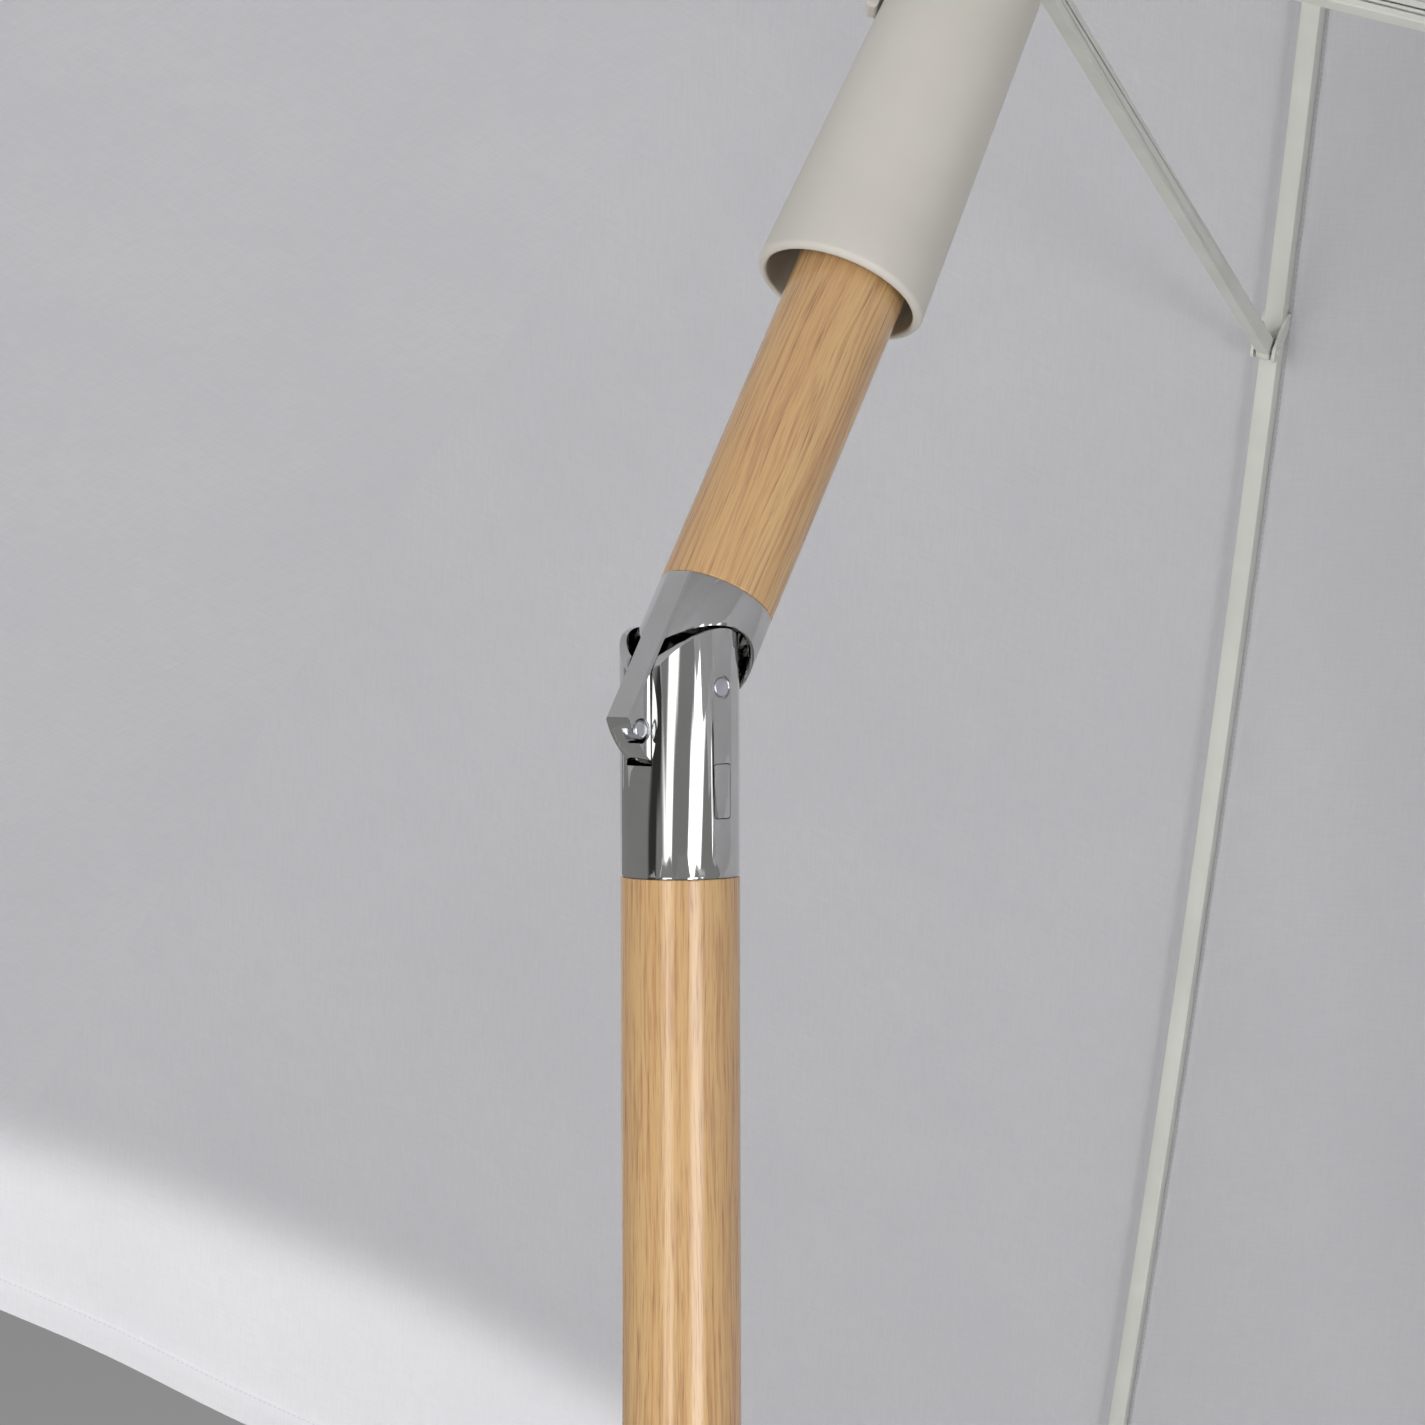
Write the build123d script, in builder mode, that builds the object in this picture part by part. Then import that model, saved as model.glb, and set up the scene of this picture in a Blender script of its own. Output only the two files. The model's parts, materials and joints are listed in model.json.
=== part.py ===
from build123d import *
import os
from math import atan2, cos, degrees, radians, sin, sqrt, tan

os.makedirs("parts", exist_ok=True)

# A tilting garden parasol of 3 m, without its base: a round pole with a push-button tilt
# joint, a runner with its stretchers, six ribs and the canopy. Millimetres, +Z up. The
# origin is the middle of the pole's foot, the canopy leans towards +X, and the joint's pin
# lies along Y with its button on the -Y side.

# --- driving dimensions -------------------------------------------------------------------
PIVOT_HEIGHT = 1700.0      # pin of the tilt joint above the pole's foot
LEAN = 31.6                # lean of the upper pole from upright, degrees
POLE_R = 19.0
POLE_WALL = 1.5
SPIGOT_GAP = 0.05          # between a spigot and the tube that it is pressed into
SPIGOT_LENGTH = 35.0

# tilt joint, measured from its pin
BASE_DROP = 60.0           # lower seam with the lower pole
SEAM_GROOVE = 0.55         # shadow line round the knuckle above that seam
SEAM_DEPTH = 0.4
HEAD_RISE = 31.3           # upper seam with the upper pole
WALL = 2.2                 # wall of both chrome tubes
EAR_R = 18.6               # rounded ears of the lower half
ARCH_R = 19.5              # arch of the upper half, round the same pin
RELIEF_R = 19.1            # the lower half's rim on the lean side, under the arch
RELIEF_DEPTH = 9.0
HOLLOW_FLOOR = -46.0
TONGUE_HALF = 5.3          # half the width of the tongue across the slot
TONGUE_R = 29.2            # round end of the tongue
TONGUE_FRONT = 7.0
SLOT_HALF = 5.6
SLOT_FLOOR = -24.6
PIN_R = 3.15
PIN_FIT = 0.05             # running clearance of every pin in its hole
PIN_HEAD_R = 3.75
NOTCH_R = 4.0
NOTCH_ANGLE = 27.8         # notch, from straight down towards the slot
NOTCH_DISTANCE = 26.2
RIVET_R = 3.2
RIVET_DISTANCE = 25.5

# release button, in the wall on the -Y side
BUTTON_WIDTH = 6.9
BUTTON_TOP = -24.2
BUTTON_BOTTOM = -41.1
BUTTON_GAP = 0.3
BUTTON_CORNER = 1.0
FLANGE_EXTRA = 1.3
FLANGE_BACK = 1.2
BOLT_Z = -36.0             # height of the button's stem
BOLT_TOP = -29.7
STEM_R = 2.5

# runner
SLEEVE_RIM = 148.9         # rim of the sleeve above the pin
SLEEVE_TOP = 291.5
SLEEVE_RIM_R = 29.0
SLEEVE_TOP_R = 23.6
SLEEVE_WALL = 2.0
LIP_WALL = 3.4             # the rim's rolled lip is thicker than the wall
LIP_HEIGHT = 8.0
LIP_ROUNDING = 2.3
SLEEVE_ASIDE = 2.0         # the sleeve hangs loose on the pole, a little off centre
SLEEVE_SKEW = 0.4          # and a little askew, degrees
RUNNER_BOTTOM = 292.4
RUNNER_BORE = 19.3
RUNNER_R = 32.5
RUNNER_TOP = 326.0
COLLAR_BOTTOM = 300.0
COLLAR_R = 42.0
STRETCHER_ROOT = (36.0, 314.0)     # distance from the pole's axis, height above the pin

# ribs and canopy, in the upper pole's frame
RIBS = 6
FIRST_RIB = 30.0
RIB_ROOT = (30.0, 760.0)
RIB_TIP = (1515.0, -38.9)
RIB_BOW = 66.1             # rise of the rib's middle above its chord
RIB_WIDTH = 9.0
RIB_DEPTH = 11.0
RIB_WEB = 1.2
BRACKET_DISTANCE = 620.0
BRACKET_DROP = 14.0
STRETCHER_WIDTH = 6.5
STRETCHER_DEPTH = 8.0
HINGE_PIN_R = 2.0
OPEN_EYE_R = 2.9           # the stretcher's outer eye, loose round the bracket's pin
CANOPY_LIFT = 12.0
CANOPY_THICKNESS = 1.0
CANOPY_INNER = 44.0
CANOPY_OUTER = 1530.0
SEAM_GAP = 0.4
CROWN_R = 36.0
CROWN_BOTTOM = 740.0
CROWN_TOP = 772.0

JOINT = Location((0, 0, PIVOT_HEIGHT))
MAST = Location((0, 0, PIVOT_HEIGHT), (0, LEAN, 0))


def save(piece, name, place=Location()):
    """Stand a finished piece in its place, label it and write it."""
    placed = piece.moved(place)
    placed.label = name
    export_step(placed, f"parts/{name}.step")


def tube(bottom, top, outer, inner):
    """A plain tube round the Z axis, joined to the part being built."""
    with BuildSketch(Plane.XY.offset(bottom)) as ring:
        Circle(outer)
        Circle(inner, mode=Mode.SUBTRACT)
    extrude(ring.sketch, amount=top - bottom)


def cut_round(bottom, top, radius):
    """A round hollow on the Z axis, cut from the part being built."""
    with BuildSketch(Plane.XY.offset(bottom)) as disc:
        Circle(radius)
    extrude(disc.sketch, amount=top - bottom, mode=Mode.SUBTRACT)


def cross_hole(x, z, radius, half_length=40.0):
    """A hole along Y through the part being built."""
    with BuildSketch(Plane.XZ) as disc:
        with Locations((x, z)):
            Circle(radius)
    extrude(disc.sketch, amount=half_length, both=True, mode=Mode.SUBTRACT)


# --- lower pole ---------------------------------------------------------------------------
with BuildPart() as lower_pole:
    tube(0, PIVOT_HEIGHT - BASE_DROP, POLE_R, POLE_R - POLE_WALL)
save(lower_pole.part, "lower_pole")

PLUG_HEIGHT = 30.0
with BuildPart() as foot_plug:
    with BuildSketch():
        Circle(POLE_R - POLE_WALL - SPIGOT_GAP)
    extrude(amount=PLUG_HEIGHT)
    cut_round(4, PLUG_HEIGHT, 13)
    fillet(foot_plug.faces().sort_by(Axis.Z)[0].edges(), 1)
save(foot_plug.part, "foot_plug")

# --- lower half of the tilt joint -----------------------------------------------------------
with BuildPart() as knuckle_base:
    tube(HOLLOW_FLOOR, EAR_R, POLE_R, POLE_R - WALL)
    tube(SEAM_GROOVE - BASE_DROP, HOLLOW_FLOOR, POLE_R, STEM_R)
    tube(-BASE_DROP, SEAM_GROOVE - BASE_DROP, POLE_R - SEAM_DEPTH, STEM_R)
    tube(-BASE_DROP - SPIGOT_LENGTH, -BASE_DROP, POLE_R - POLE_WALL - SPIGOT_GAP, 14)
    # two ears, rounded about the pin
    with BuildSketch(Plane.XZ):
        with Locations((0, EAR_R)):
            Rectangle(3 * POLE_R, 2 * EAR_R)
        Circle(EAR_R, mode=Mode.SUBTRACT)
    extrude(amount=2 * POLE_R, both=True, mode=Mode.SUBTRACT)
    # the lean side's rim makes way for the arch
    with BuildSketch(Plane.XZ):
        with Locations((POLE_R, -RELIEF_DEPTH / 2)):
            Rectangle(POLE_R, RELIEF_DEPTH)
        Circle(RELIEF_R, mode=Mode.SUBTRACT)
    extrude(amount=2 * POLE_R, both=True, mode=Mode.SUBTRACT)
    # slot for the tongue
    with Locations((-POLE_R, 0, (EAR_R + SLOT_FLOOR) / 2)):
        Box(POLE_R, 2 * SLOT_HALF, EAR_R - SLOT_FLOOR, mode=Mode.SUBTRACT)
    cross_hole(0, 0, PIN_R + SPIGOT_GAP)
    # shallow seat round the pin's head
    with BuildSketch(Plane.XZ.offset(POLE_R - 0.8)):
        Circle(PIN_HEAD_R)
    extrude(amount=2, mode=Mode.SUBTRACT)
    # window of the release button
    with BuildSketch(Plane.XZ):
        with Locations((0, (BUTTON_TOP + BUTTON_BOTTOM) / 2)):
            RectangleRounded(BUTTON_WIDTH + 2 * BUTTON_GAP,
                             BUTTON_TOP - BUTTON_BOTTOM + 2 * BUTTON_GAP, BUTTON_CORNER)
    extrude(amount=2 * POLE_R, mode=Mode.SUBTRACT)
save(knuckle_base.part, "knuckle_base", JOINT)

with BuildPart() as pivot_pin:
    with BuildSketch(Plane.XZ):
        Circle(PIN_R)
    extrude(amount=POLE_R - 0.25, both=True)
    fillet(pivot_pin.edges().filter_by(GeomType.CIRCLE), 0.6)
save(pivot_pin.part, "pivot_pin", JOINT)

SPACER_OUTER = 6.0
spacer_end = sqrt((POLE_R - WALL) ** 2 - SPACER_OUTER ** 2) - 0.05
with BuildPart() as pivot_spacers:
    for plane in (Plane.XZ.offset(SLOT_HALF), Plane.XZ.offset(-spacer_end)):
        with BuildSketch(plane):
            Circle(SPACER_OUTER)
            Circle(PIN_R + PIN_FIT, mode=Mode.SUBTRACT)
        extrude(amount=spacer_end - SLOT_HALF)
save(pivot_spacers.part, "pivot_spacers", JOINT)

# --- release button, lock bolt and spring -----------------------------------------------------
FLANGE_FACE = sqrt((POLE_R - WALL) ** 2 - (BUTTON_WIDTH / 2 + FLANGE_EXTRA) ** 2) - 0.3
BOLT_HALF = 5.0
button_middle = (BUTTON_TOP + BUTTON_BOTTOM) / 2
button_height = BUTTON_TOP - BUTTON_BOTTOM
with BuildPart() as release_button:
    with BuildSketch(Plane.XZ.offset(FLANGE_FACE)):
        with Locations((0, button_middle)):
            RectangleRounded(BUTTON_WIDTH, button_height, BUTTON_CORNER)
    extrude(amount=POLE_R)
    with BuildSketch(Plane.XY.offset(-BASE_DROP)):
        Circle(POLE_R)
    extrude(amount=BASE_DROP, mode=Mode.INTERSECT)
    with BuildSketch(Plane.XZ.offset(FLANGE_FACE - FLANGE_BACK)):
        with Locations((0, button_middle)):
            RectangleRounded(BUTTON_WIDTH + 2 * FLANGE_EXTRA,
                             button_height + 2 * FLANGE_EXTRA, BUTTON_CORNER)
    extrude(amount=FLANGE_BACK)
    with BuildSketch(Plane.XZ.offset(-BOLT_HALF)):
        with Locations((0, BOLT_Z)):
            Circle(STEM_R)
    extrude(amount=BOLT_HALF + FLANGE_FACE - FLANGE_BACK)
save(release_button.part, "release_button", JOINT)

BOLT_FOOT = -42.0
with BuildPart() as lock_bolt:
    with Locations((0, 0, (BOLT_TOP + BOLT_FOOT) / 2)):
        Box(9, 2 * BOLT_HALF, BOLT_TOP - BOLT_FOOT)
    cross_hole(0, BOLT_Z, STEM_R + SPIGOT_GAP)
    chamfer(lock_bolt.edges().filter_by(Axis.Y), 0.8)
save(lock_bolt.part, "lock_bolt", JOINT)

SPRING_HALF = 7.0
SPRING_START = BOLT_HALF + 0.4
spring_end = sqrt((POLE_R - WALL) ** 2 - SPRING_HALF ** 2) - 0.4
with BuildPart() as button_spring:
    with BuildSketch(Plane.XY.offset(BOLT_Z - 2.5)):
        with BuildLine():
            ThreePointArc((-SPRING_HALF, spring_end), (0, SPRING_START + 0.3),
                          (SPRING_HALF, spring_end))
        trace(line_width=0.5)
    extrude(amount=5)
save(button_spring.part, "button_spring", JOINT)

# --- upper half of the tilt joint -------------------------------------------------------------
HEAD_HOLLOW_TOP = 25.0
tongue_corner = sqrt(TONGUE_R ** 2 - POLE_R ** 2)
tongue_toe = sqrt(TONGUE_R ** 2 - TONGUE_FRONT ** 2)
notch = (-NOTCH_DISTANCE * sin(radians(NOTCH_ANGLE)), -NOTCH_DISTANCE * cos(radians(NOTCH_ANGLE)))
rivet = (-RIVET_DISTANCE * sin(radians(NOTCH_ANGLE)), -RIVET_DISTANCE * cos(radians(NOTCH_ANGLE)))
NOTCH_FLOOR = 0.5
with BuildPart() as knuckle_head:
    tube(0, HEAD_HOLLOW_TOP, POLE_R, POLE_R - WALL)
    with BuildSketch(Plane.XY.offset(HEAD_HOLLOW_TOP)):
        Circle(POLE_R)
    extrude(amount=HEAD_RISE - HEAD_HOLLOW_TOP)
    cross_hole(0, 0, ARCH_R)
    # the tongue: a thick plate from the collar's top down past the pin
    with BuildSketch(Plane.XZ):
        with BuildLine():
            Polyline((TONGUE_FRONT, -tongue_toe), (TONGUE_FRONT, HEAD_RISE),
                     (-POLE_R, HEAD_RISE), (-POLE_R, -tongue_corner))
            ThreePointArc((-POLE_R, -tongue_corner), (0, -TONGUE_R), (TONGUE_FRONT, -tongue_toe))
        make_face()
    extrude(amount=TONGUE_HALF, both=True)
    back_edges = knuckle_head.edges().filter_by(Axis.Z).group_by(Axis.X)[0]
    chamfer(back_edges, 0.7)
    tube(HEAD_RISE, HEAD_RISE + SPIGOT_LENGTH, POLE_R - POLE_WALL - SPIGOT_GAP, 14)
    cross_hole(0, 0, PIN_R + PIN_FIT)
    with BuildSketch(Plane.XZ.offset(NOTCH_FLOOR)):
        with Locations(notch):
            Circle(NOTCH_R)
    extrude(amount=TONGUE_HALF, mode=Mode.SUBTRACT)
save(knuckle_head.part, "knuckle_head", MAST)

with BuildPart() as stop_rivet:
    with BuildSketch(Plane.XZ.offset(NOTCH_FLOOR)):
        with Locations(rivet):
            Circle(RIVET_R)
    extrude(amount=TONGUE_HALF - NOTCH_FLOOR - 0.2)
    fillet(stop_rivet.faces().sort_by(Axis.Y)[0].edges(), 1.4)
save(stop_rivet.part, "stop_rivet", MAST)

# --- upper pole ---------------------------------------------------------------------------
POLE_TOP = 752.0
with BuildPart() as upper_pole:
    tube(HEAD_RISE, POLE_TOP, POLE_R, POLE_R - POLE_WALL)
save(upper_pole.part, "upper_pole", MAST)

# --- runner -------------------------------------------------------------------------------
with BuildPart() as runner_sleeve:
    with BuildSketch(Plane.XZ):
        Polygon((SLEEVE_RIM_R - LIP_WALL, SLEEVE_RIM), (SLEEVE_RIM_R, SLEEVE_RIM),
                (SLEEVE_TOP_R, SLEEVE_TOP), (SLEEVE_TOP_R - SLEEVE_WALL, SLEEVE_TOP),
                (SLEEVE_RIM_R - SLEEVE_WALL, SLEEVE_RIM + LIP_HEIGHT), align=None)
    revolve(axis=Axis.Z)
    rim_edges = runner_sleeve.edges().group_by(Axis.Z)[0].sort_by(SortBy.RADIUS)
    fillet(rim_edges[-1], LIP_ROUNDING)
    fillet(runner_sleeve.edges().group_by(Axis.Z)[0].sort_by(SortBy.RADIUS)[0], LIP_WALL - LIP_ROUNDING - 0.2)
skewed = Location((0, SLEEVE_ASIDE, SLEEVE_TOP)) * Location((0, 0, 0), (SLEEVE_SKEW, 0, 0)) \
    * Location((0, 0, -SLEEVE_TOP))
save(runner_sleeve.part, "runner_sleeve", MAST * skewed)

TAB_AZIMUTH = 130.0
TAB_DISTANCE = 29.4
TAB_THICKNESS = 4.0
TAB_WIDTH = 9.0
TAB_BOTTOM = 251.0
TAB_ROUNDING = 1.5
RUNNER_SLOT_FLOOR = 306.0
RUNNER_SLOT_ROOT = 30.3
with BuildPart() as runner_hub:
    with BuildSketch(Plane.XZ):
        Polygon((RUNNER_BORE, RUNNER_BOTTOM), (RUNNER_R, RUNNER_BOTTOM),
                (RUNNER_R, COLLAR_BOTTOM - 3),
                (COLLAR_R, COLLAR_BOTTOM), (COLLAR_R, RUNNER_TOP), (RUNNER_BORE, RUNNER_TOP),
                align=None)
    revolve(axis=Axis.Z)
    fillet(runner_hub.edges().filter_by(GeomType.CIRCLE).group_by(Axis.Z)[0].sort_by(
        SortBy.RADIUS)[-1], 2)
    # a tab reaches down outside the sleeve and keeps it on the hub
    with PolarLocations(TAB_DISTANCE, 1, start_angle=TAB_AZIMUTH):
        with Locations((0, 0, (TAB_BOTTOM + COLLAR_BOTTOM) / 2)):
            Box(TAB_THICKNESS, TAB_WIDTH, COLLAR_BOTTOM - TAB_BOTTOM)
    fillet(runner_hub.edges().group_by(Axis.Z)[0], TAB_ROUNDING)
    with PolarLocations(0, RIBS, start_angle=FIRST_RIB):
        with Locations((RUNNER_SLOT_ROOT + 20, 0, RUNNER_SLOT_FLOOR + 20)):
            Box(40, STRETCHER_WIDTH + 0.6, 40, mode=Mode.SUBTRACT)
        with Locations(Location((STRETCHER_ROOT[0], 0, STRETCHER_ROOT[1]), (90, 0, 0))):
            Cylinder(HINGE_PIN_R + 0.02, 24, mode=Mode.SUBTRACT)
save(runner_hub.part, "runner_hub", MAST)

HINGE_PIN_LENGTH = 20.0
with BuildPart() as stretcher_pins:
    with PolarLocations(0, RIBS, start_angle=FIRST_RIB):
        with Locations(Location((STRETCHER_ROOT[0], 0, STRETCHER_ROOT[1]), (90, 0, 0))):
            Cylinder(HINGE_PIN_R, HINGE_PIN_LENGTH)
save(stretcher_pins.part, "stretcher_pins", MAST)

# --- crown --------------------------------------------------------------------------------
CROWN_SLOT_ROOT = 24.0
with BuildPart() as crown_hub:
    with BuildSketch(Plane.XY.offset(CROWN_BOTTOM)):
        Circle(CROWN_R)
    extrude(amount=CROWN_TOP - CROWN_BOTTOM)
    cut_round(CROWN_BOTTOM, POLE_TOP, POLE_R + SPIGOT_GAP)
    with PolarLocations(0, RIBS, start_angle=FIRST_RIB):
        with Locations((CROWN_SLOT_ROOT + 20, 0, RIB_ROOT[1] - 20 + RIB_DEPTH)):
            Box(40, RIB_WIDTH + 0.6, 60, mode=Mode.SUBTRACT)
        with Locations(Location((RIB_ROOT[0], 0, RIB_ROOT[1]), (90, 0, 0))):
            Cylinder(HINGE_PIN_R + 0.02, 26, mode=Mode.SUBTRACT)
save(crown_hub.part, "crown_hub", MAST)

with BuildPart() as rib_pins:
    with PolarLocations(0, RIBS, start_angle=FIRST_RIB):
        with Locations(Location((RIB_ROOT[0], 0, RIB_ROOT[1]), (90, 0, 0))):
            Cylinder(HINGE_PIN_R, HINGE_PIN_LENGTH + 2)
save(rib_pins.part, "rib_pins", MAST)

CAP_R = 52.0
CAP_RISE = 14.0
dome_r = (CAP_R ** 2 + CAP_RISE ** 2) / (2 * CAP_RISE)
dome_middle = CROWN_TOP + CAP_RISE - dome_r + sqrt(dome_r ** 2 - CAP_R ** 2 / 4)
with BuildPart() as crown_cap:
    with BuildSketch(Plane.XZ):
        with BuildLine():
            Polyline((0, CROWN_TOP + CAP_RISE), (0, CROWN_TOP), (CROWN_R + 1, CROWN_TOP),
                     (CAP_R, CROWN_TOP - 2), (CAP_R, CROWN_TOP))
            ThreePointArc((CAP_R, CROWN_TOP), (CAP_R / 2, dome_middle), (0, CROWN_TOP + CAP_RISE))
        make_face()
    revolve(axis=Axis.Z)
save(crown_cap.part, "crown_cap", MAST)

FINIAL_R = 15.0
FINIAL_NECK = 8.0
FINIAL_FOOT_HEIGHT = 14.0
finial_foot = CROWN_TOP + CAP_RISE
with BuildPart() as finial:
    with Locations((0, 0, finial_foot + FINIAL_FOOT_HEIGHT / 2)):
        Cone(FINIAL_R, FINIAL_NECK, FINIAL_FOOT_HEIGHT)
    with Locations((0, 0, finial_foot + FINIAL_FOOT_HEIGHT + FINIAL_R - 4)):
        Sphere(FINIAL_R)
save(finial.part, "finial", MAST)

# --- ribs, stretchers and canopy ----------------------------------------------------------------
# The ribs follow one circle through the root, the raised middle and the tip.
middle = ((RIB_ROOT[0] + RIB_TIP[0]) / 2, (RIB_ROOT[1] + RIB_TIP[1]) / 2 + RIB_BOW)
with BuildLine() as whole_rib:
    whole_arc = ThreePointArc(RIB_ROOT, middle, RIB_TIP)
arc_centre = whole_arc.arc_center


def rib_height(distance):
    """Height of the rib's middle line at a distance from the pole's axis."""
    return arc_centre.Y + sqrt(whole_arc.radius ** 2 - (distance - arc_centre.X) ** 2)


def rib_line(start, end, lift=0.0, squeeze=1.0):
    """The rib's arc from one distance to another, lifted, and squeezed in width."""
    points = [(r * squeeze, rib_height(r) + lift) for r in (start, (start + end) / 2, end)]
    return ThreePointArc(*points)


bracket = (BRACKET_DISTANCE, rib_height(BRACKET_DISTANCE) - BRACKET_DROP)
half_step = 180 / RIBS

with BuildPart() as rib:
    with BuildSketch(Plane.XZ):
        with BuildLine():
            rib_line(RIB_ROOT[0], RIB_TIP[0])
        trace(line_width=RIB_DEPTH)
        with Locations(RIB_ROOT):
            Circle(RIB_DEPTH / 2)
    extrude(amount=RIB_WIDTH / 2, both=True)
    # channel, open towards the canopy
    with BuildSketch(Plane.XZ):
        with BuildLine():
            rib_line(60, RIB_TIP[0] - 45, lift=2 * RIB_WEB)
        trace(line_width=RIB_DEPTH)
    extrude(amount=RIB_WIDTH / 2 - RIB_WEB, both=True, mode=Mode.SUBTRACT)
    cross_hole(*RIB_ROOT, HINGE_PIN_R + PIN_FIT)

TIP_LENGTH = 40.0
TIP_WALL = 1.6
with BuildPart() as rib_tip:
    with BuildSketch(Plane.XZ):
        with BuildLine():
            rib_line(RIB_TIP[0] - TIP_LENGTH, RIB_TIP[0] + 4)
        trace(line_width=RIB_DEPTH + 2 * TIP_WALL)
    extrude(amount=RIB_WIDTH / 2 + TIP_WALL, both=True)
    fillet(rib_tip.edges().group_by(Axis.X)[-1], 2)
    with BuildSketch(Plane.XZ):
        with BuildLine():
            rib_line(RIB_TIP[0] - TIP_LENGTH - 5, RIB_TIP[0] + 0.3)
        trace(line_width=RIB_DEPTH + 2 * SPIGOT_GAP)
    extrude(amount=RIB_WIDTH / 2 + SPIGOT_GAP, both=True, mode=Mode.SUBTRACT)

CHEEK = 1.5
with BuildPart() as rib_bracket:
    for plane in (Plane.XZ.offset(RIB_WIDTH / 2), Plane.XZ.offset(-RIB_WIDTH / 2 - CHEEK)):
        with BuildSketch(plane):
            with Locations((bracket[0], bracket[1] + BRACKET_DROP / 2)):
                Rectangle(12, BRACKET_DROP)
            with Locations(bracket):
                Circle(6)
            with Locations((bracket[0], bracket[1] + BRACKET_DROP)):
                Circle(6)
        extrude(amount=CHEEK)
    with BuildSketch(Plane.XZ):
        with Locations(bracket):
            Circle(HINGE_PIN_R)
    extrude(amount=RIB_WIDTH / 2 + CHEEK + 1, both=True)

EYE_R = 5.6
with BuildPart() as stretcher:
    root = Vector(*STRETCHER_ROOT)
    end = Vector(*bracket)
    along = (end - root).normalized()
    up = Vector(-along.Y, along.X) * (2 * RIB_WEB)
    with BuildSketch(Plane.XZ):
        with BuildLine():
            Line(root, end)
        trace(line_width=STRETCHER_DEPTH)
        with Locations(STRETCHER_ROOT):
            Circle(STRETCHER_DEPTH / 2)
        with Locations(bracket):
            Circle(EYE_R)
    extrude(amount=STRETCHER_WIDTH / 2, both=True)
    with BuildSketch(Plane.XZ):
        with BuildLine():
            Line(root + along * 26 + up, end - along * 26 + up)
        trace(line_width=STRETCHER_DEPTH)
    extrude(amount=STRETCHER_WIDTH / 2 - RIB_WEB, both=True, mode=Mode.SUBTRACT)
    cross_hole(*STRETCHER_ROOT, HINGE_PIN_R + PIN_FIT)
    cross_hole(*bracket, OPEN_EYE_R)

# One gore covers one rib as far as the middle of the panel on either side. Between two ribs
# the cloth is straight along every line across the panel.
half_angle = radians(half_step)
panel_plane = Plane((0, 0, 0), x_dir=(cos(half_angle), sin(half_angle), 0),
                    z_dir=(sin(half_angle), -cos(half_angle), 0))
WEDGE = 2000.0
with BuildPart() as gore:
    with BuildSketch(panel_plane):
        with BuildLine():
            rib_line(CANOPY_INNER, CANOPY_OUTER, CANOPY_LIFT, cos(half_angle))
        trace(line_width=CANOPY_THICKNESS)
    extrude(amount=WEDGE / 2, both=True)
    with BuildSketch(Plane.XY.offset(-WEDGE / 2)):
        Polygon((2 * SEAM_GAP, 0), (WEDGE, 0), (WEDGE, (WEDGE - 2 * SEAM_GAP) * tan(half_angle)),
                align=None)
    extrude(amount=WEDGE, mode=Mode.INTERSECT)
    mirror(about=Plane.XZ)

for number in range(RIBS):
    turned = MAST * Location((0, 0, 0), (0, 0, FIRST_RIB + number * 360 / RIBS))
    save(rib.part, f"rib_{number + 1}", turned)
    save(rib_tip.part, f"rib_tip_{number + 1}", turned)
    save(rib_bracket.part, f"rib_bracket_{number + 1}", turned)
    save(stretcher.part, f"stretcher_{number + 1}", turned)
    save(gore.part, f"canopy_gore_{number + 1}", turned)

print("stretcher angle", round(degrees(atan2(along.Y, along.X)), 2), "bracket", bracket)
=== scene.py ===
# %% [markdown]
# # A tilting parasol, dressed
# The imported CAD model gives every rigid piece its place. This lesson adds what CAD leaves out: the
# foil on the poles, the plating on the joint, the sewn canopy, and a small studio to see them in.

# %% Load the frame
import json
import math

import bpy
import numpy as np
from mathutils import Matrix, Vector


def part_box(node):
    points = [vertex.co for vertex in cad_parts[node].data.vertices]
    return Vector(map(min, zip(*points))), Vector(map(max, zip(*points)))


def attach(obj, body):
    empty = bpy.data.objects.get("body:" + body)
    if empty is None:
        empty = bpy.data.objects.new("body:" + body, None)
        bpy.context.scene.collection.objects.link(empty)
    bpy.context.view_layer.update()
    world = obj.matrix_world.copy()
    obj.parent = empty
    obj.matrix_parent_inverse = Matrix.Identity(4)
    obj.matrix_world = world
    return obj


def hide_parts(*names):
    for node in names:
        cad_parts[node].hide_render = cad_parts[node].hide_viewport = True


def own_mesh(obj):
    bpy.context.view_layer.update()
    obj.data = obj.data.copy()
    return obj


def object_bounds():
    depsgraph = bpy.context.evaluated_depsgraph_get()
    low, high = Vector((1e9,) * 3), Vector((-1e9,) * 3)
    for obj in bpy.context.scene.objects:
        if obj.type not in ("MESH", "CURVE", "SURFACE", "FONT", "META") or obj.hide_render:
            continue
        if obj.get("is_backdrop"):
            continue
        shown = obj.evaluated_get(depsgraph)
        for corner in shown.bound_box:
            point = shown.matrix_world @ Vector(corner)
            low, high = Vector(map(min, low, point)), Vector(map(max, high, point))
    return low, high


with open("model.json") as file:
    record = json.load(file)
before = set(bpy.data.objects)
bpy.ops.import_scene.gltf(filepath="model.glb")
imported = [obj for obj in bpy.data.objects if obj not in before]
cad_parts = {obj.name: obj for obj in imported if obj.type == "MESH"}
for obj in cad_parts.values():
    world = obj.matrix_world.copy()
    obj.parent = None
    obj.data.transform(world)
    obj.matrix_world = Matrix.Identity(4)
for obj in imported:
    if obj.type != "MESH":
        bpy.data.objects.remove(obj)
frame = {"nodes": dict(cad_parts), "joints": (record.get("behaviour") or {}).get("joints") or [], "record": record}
cad_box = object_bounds()
nodes = frame["nodes"]
scene = bpy.context.scene
scene.view_settings.view_transform = "Standard"

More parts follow.
